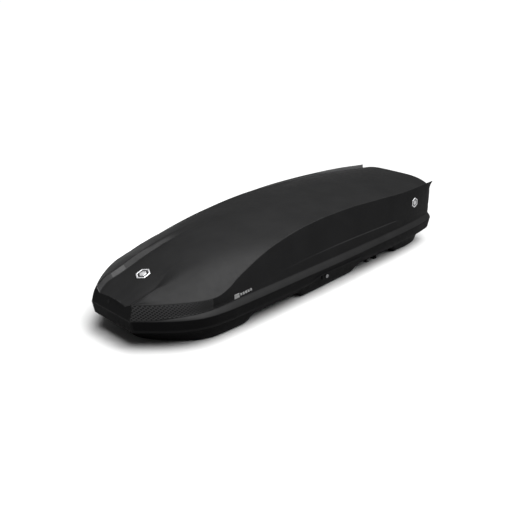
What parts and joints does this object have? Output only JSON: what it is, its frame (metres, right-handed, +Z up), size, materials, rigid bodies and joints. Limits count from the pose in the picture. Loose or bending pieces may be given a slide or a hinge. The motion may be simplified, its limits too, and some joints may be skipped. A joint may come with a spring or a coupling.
{
  "type": "roof cargo box",
  "caption": "Hard-shell roof cargo box with a side-opening lid, raised rear fins, gas struts, central lock and quick clamps for roof bars.",
  "frame": {"origin": "centre of the box's footprint, on the flat undersides of the tray", "axes": "+X from the nose to the rear, +Z up, -Y the side with the lock"},
  "size_m": [2.18, 0.756, 0.4278],
  "materials": {
    "lid_skin": "fine-grained matte black thermoformed ABS",
    "tray_skin": "coarse-grained black ABS",
    "weave": "dark carbon-look weave film, semi-gloss",
    "badge": "bright silver",
    "decal": "silver print",
    "trim_plastic": "moulded black plastic",
    "knob": "dark grey moulded plastic with soft lobes",
    "jaw": "black powder-coated steel",
    "rod": "hard-chromed",
    "cylinder": "black paint, satin",
    "key": "polished",
    "rib": "mill finish",
    "fastener": "zinc-plated",
    "zinc_steel": "zinc-plated pressed steel"
  },
  "bodies": {
    "tray": {"bracket_screws": "fastener", "clamp_housing_front_left": "trim_plastic", "clamp_housing_front_right": "trim_plastic", "clamp_housing_rear_left": "trim_plastic", "clamp_housing_rear_right": "trim_plastic", "clamp_screws": "fastener", "floor_rail_left": "zinc_steel", "floor_rail_right": "zinc_steel", "hinge_leaf_tray_front": "zinc_steel", "hinge_leaf_tray_middle": "zinc_steel", "hinge_leaf_tray_rear": "zinc_steel", "hinge_pins": "zinc_steel", "strikers": "zinc_steel", "strut_bracket_tray_front": "zinc_steel", "strut_bracket_tray_rear": "zinc_steel", "tray_rivets": "fastener", "tray_shell": "tray_skin"},
    "lid": {"front_badge": "badge", "hinge_leaf_lid_front": "zinc_steel", "hinge_leaf_lid_middle": "zinc_steel", "hinge_leaf_lid_rear": "zinc_steel", "lid_rib_front": "rib", "lid_rib_rear": "rib", "lid_rivets": "fastener", "lid_shell": "lid_skin", "lock_bar_guides": "zinc_steel", "lock_housing": "trim_plastic", "lock_screws": "fastener", "nose_plug": "trim_plastic", "side_badge_left": "badge", "side_badge_right": "badge", "side_decal_left": "decal", "side_decal_right": "decal", "strut_bracket_lid_front": "zinc_steel", "strut_bracket_lid_rear": "zinc_steel", "weave_film_left": "weave", "weave_film_right": "weave"},
    "jaw_aft_front_left": {"clamp_jaw_aft_front_left": "jaw"},
    "jaw_aft_front_right": {"clamp_jaw_aft_front_right": "jaw"},
    "jaw_aft_rear_left": {"clamp_jaw_aft_rear_left": "jaw"},
    "jaw_aft_rear_right": {"clamp_jaw_aft_rear_right": "jaw"},
    "jaw_fore_front_left": {"clamp_jaw_fore_front_left": "jaw"},
    "jaw_fore_front_right": {"clamp_jaw_fore_front_right": "jaw"},
    "jaw_fore_rear_left": {"clamp_jaw_fore_rear_left": "jaw"},
    "jaw_fore_rear_right": {"clamp_jaw_fore_rear_right": "jaw"},
    "knob_front_left": {"clamp_knob_front_left": "knob", "clamp_spindle_front_left": "zinc_steel"},
    "knob_front_right": {"clamp_knob_front_right": "knob", "clamp_spindle_front_right": "zinc_steel"},
    "knob_rear_left": {"clamp_knob_rear_left": "knob", "clamp_spindle_rear_left": "zinc_steel"},
    "knob_rear_right": {"clamp_knob_rear_right": "knob", "clamp_spindle_rear_right": "zinc_steel"},
    "key": {"key_cylinder": "key"},
    "bar": {"lock_bar": "zinc_steel"},
    "strut_cylinder_front": {"strut_cylinder_front": "cylinder"},
    "strut_cylinder_rear": {"strut_cylinder_rear": "cylinder"},
    "strut_rod_front": {"strut_rod_front": "rod"},
    "strut_rod_rear": {"strut_rod_rear": "rod"}
  },
  "joints": [
    {"name": "lid_hinge", "type": "hinge", "parent": "tray", "child": "lid", "pos_m": [0, 0.334, 0.111], "axis": [-1, 0, 0], "range_deg": [0, 45]},
    {"name": "strut_swing_front", "type": "hinge", "parent": "tray", "child": "strut_cylinder_front", "pos_m": [-0.63, 0.18, 0.063], "axis": [-1, 0, 0], "range_deg": [-0.5, 22.31]},
    {"name": "strut_stroke_front", "type": "slide", "parent": "strut_cylinder_front", "child": "strut_rod_front", "axis": [0, 0.3969, 0.9179], "range_m": [-0.001, 0.07928]},
    {"name": "strut_swing_rear", "type": "hinge", "parent": "tray", "child": "strut_cylinder_rear", "pos_m": [0.78, 0.18, 0.063], "axis": [-1, 0, 0], "range_deg": [-0.5, 22.31]},
    {"name": "strut_stroke_rear", "type": "slide", "parent": "strut_cylinder_rear", "child": "strut_rod_rear", "axis": [0, 0.3969, 0.9179], "range_m": [-0.001, 0.07928]},
    {"name": "key_turn", "type": "hinge", "parent": "lid", "child": "key", "pos_m": [-0.008, -0.35, 0.106], "axis": [0, 1, 0], "range_deg": [0, 90.5]},
    {"name": "bar_slide", "type": "slide", "parent": "lid", "child": "bar", "axis": [1, 0, 0], "range_m": [0, 0.02]},
    {"name": "knob_turn_front_left", "type": "hinge", "parent": "tray", "child": "knob_front_left", "pos_m": [-0.32, -0.232, 0.068], "axis": [0, 0, 1], "range_deg": [0, 270]},
    {"name": "jaw_fore_slide_front_left", "type": "slide", "parent": "tray", "child": "jaw_fore_front_left", "axis": [-1, 0, 0], "range_m": [0, 0.0122]},
    {"name": "jaw_aft_slide_front_left", "type": "slide", "parent": "tray", "child": "jaw_aft_front_left", "axis": [1, 0, 0], "range_m": [0, 0.0122]},
    {"name": "knob_turn_front_right", "type": "hinge", "parent": "tray", "child": "knob_front_right", "pos_m": [-0.32, 0.232, 0.068], "axis": [0, 0, 1], "range_deg": [0, 270]},
    {"name": "jaw_fore_slide_front_right", "type": "slide", "parent": "tray", "child": "jaw_fore_front_right", "axis": [-1, 0, 0], "range_m": [0, 0.0122]},
    {"name": "jaw_aft_slide_front_right", "type": "slide", "parent": "tray", "child": "jaw_aft_front_right", "axis": [1, 0, 0], "range_m": [0, 0.0122]},
    {"name": "knob_turn_rear_left", "type": "hinge", "parent": "tray", "child": "knob_rear_left", "pos_m": [0.532, -0.232, 0.068], "axis": [0, 0, 1], "range_deg": [0, 270]},
    {"name": "jaw_fore_slide_rear_left", "type": "slide", "parent": "tray", "child": "jaw_fore_rear_left", "axis": [-1, 0, 0], "range_m": [0, 0.0122]},
    {"name": "jaw_aft_slide_rear_left", "type": "slide", "parent": "tray", "child": "jaw_aft_rear_left", "axis": [1, 0, 0], "range_m": [0, 0.0122]},
    {"name": "knob_turn_rear_right", "type": "hinge", "parent": "tray", "child": "knob_rear_right", "pos_m": [0.532, 0.232, 0.068], "axis": [0, 0, 1], "range_deg": [0, 270]},
    {"name": "jaw_fore_slide_rear_right", "type": "slide", "parent": "tray", "child": "jaw_fore_rear_right", "axis": [-1, 0, 0], "range_m": [0, 0.0122]},
    {"name": "jaw_aft_slide_rear_right", "type": "slide", "parent": "tray", "child": "jaw_aft_rear_right", "axis": [1, 0, 0], "range_m": [0, 0.0122]}
  ],
  "couplings": [
    {"joint": "strut_swing_front", "follows": "lid_hinge", "ratio": 0.48467},
    {"joint": "strut_stroke_front", "follows": "lid_hinge", "m_per_rad": 0.09967},
    {"joint": "strut_swing_rear", "follows": "lid_hinge", "ratio": 0.48467},
    {"joint": "strut_stroke_rear", "follows": "lid_hinge", "m_per_rad": 0.09967},
    {"joint": "key_turn", "follows": "bar_slide", "rad_per_m": 78.54},
    {"joint": "jaw_fore_slide_front_left", "follows": "knob_turn_front_left", "m_per_rad": 0.0025465},
    {"joint": "jaw_aft_slide_front_left", "follows": "knob_turn_front_left", "m_per_rad": 0.0025465},
    {"joint": "jaw_fore_slide_front_right", "follows": "knob_turn_front_right", "m_per_rad": 0.0025465},
    {"joint": "jaw_aft_slide_front_right", "follows": "knob_turn_front_right", "m_per_rad": 0.0025465},
    {"joint": "jaw_fore_slide_rear_left", "follows": "knob_turn_rear_left", "m_per_rad": 0.0025465},
    {"joint": "jaw_aft_slide_rear_left", "follows": "knob_turn_rear_left", "m_per_rad": 0.0025465},
    {"joint": "jaw_fore_slide_rear_right", "follows": "knob_turn_rear_right", "m_per_rad": 0.0025465},
    {"joint": "jaw_aft_slide_rear_right", "follows": "knob_turn_rear_right", "m_per_rad": 0.0025465}
  ]
}
